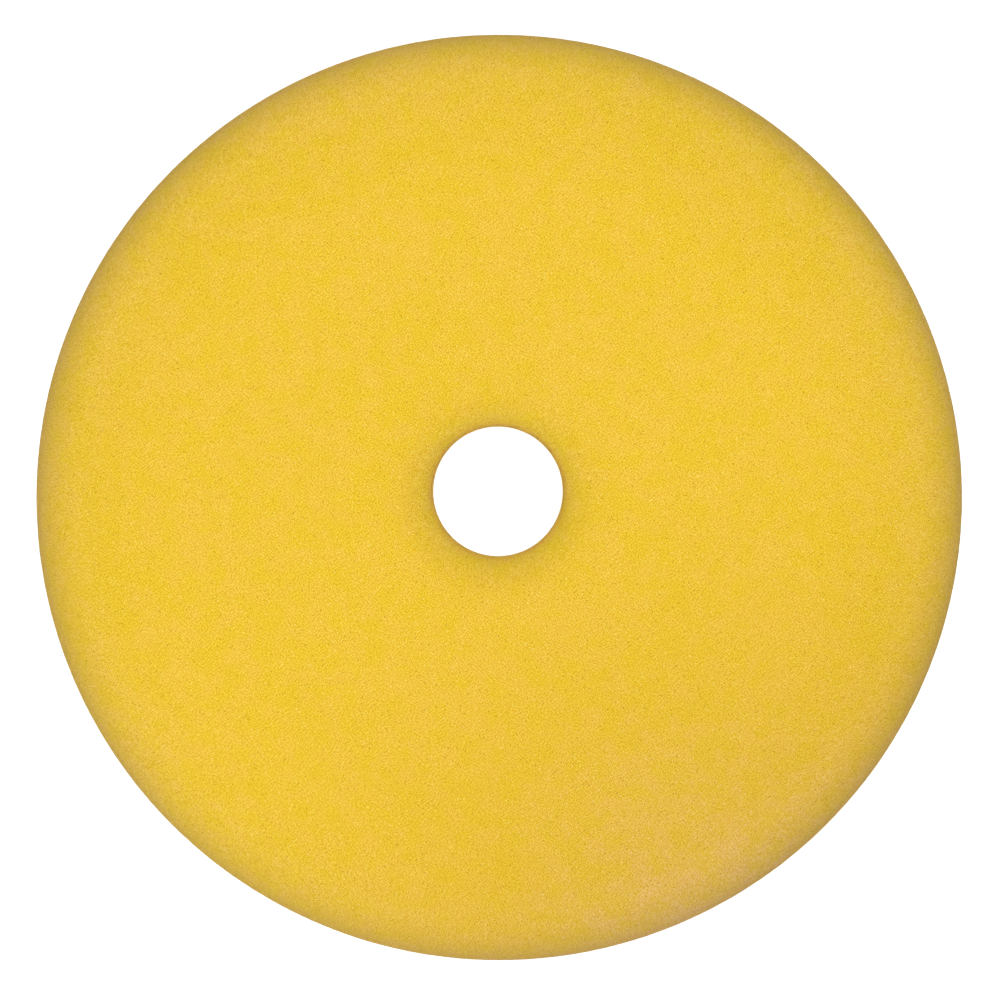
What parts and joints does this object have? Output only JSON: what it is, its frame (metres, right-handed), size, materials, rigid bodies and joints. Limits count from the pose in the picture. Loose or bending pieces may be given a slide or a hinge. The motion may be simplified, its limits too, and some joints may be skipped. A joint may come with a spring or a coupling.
{
  "type": "foam polishing pad",
  "caption": "Round soft foam polishing pad with rounded edges, a tapered side, a hole through its centre and a loop-pile back, for a rotary polisher.",
  "frame": {"origin": "centre of the pad's outline, on the plane that its loops rest on", "axes": "+Z from the loop side to the working face, along the axis that the pad spins about; X and Y lie in the pad, and its hole is punched slightly off centre towards +Y"},
  "size_m": [0.18, 0.18, 0.0319],
  "materials": {
    "yellow_foam": "matte",
    "bond_film": "satin",
    "loop_cloth": "matte",
    "loop_pile": "matte"
  },
  "bodies": {
    "root": {"foam_body": "yellow_foam", "bond_film": "bond_film", "loop_cloth": "loop_cloth", "loop_pile": "loop_pile"}
  },
  "joints": []
}
